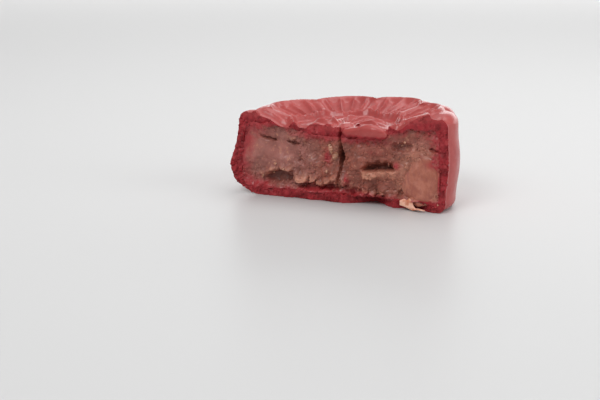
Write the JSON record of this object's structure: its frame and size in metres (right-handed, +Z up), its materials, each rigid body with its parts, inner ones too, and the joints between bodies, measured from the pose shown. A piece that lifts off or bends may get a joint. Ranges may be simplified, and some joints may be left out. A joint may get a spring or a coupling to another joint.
{
  "type": "half mooncake",
  "caption": "Half of a round pressed mooncake, snapped open: red lobed crust with a stamped flower top, brown paste filling with a nut.",
  "frame": {"origin": "middle of the half's footprint, on the flat base it rests on", "axes": "+X along the broken face to its right end, as seen from in front of the break; the broken face looks towards -Y; +Z up"},
  "size_m": [0.0774, 0.0436, 0.0315],
  "materials": {
    "crust": "soft satin baked pastry, dyed red",
    "filling": "moist crumbly paste",
    "nut": "smooth moist nut",
    "nut_chip": "smooth nut flake"
  },
  "bodies": {
    "root": {"crust": "crust", "filling": "filling", "nut": "nut", "nut_chip": "nut_chip"}
  },
  "joints": []
}
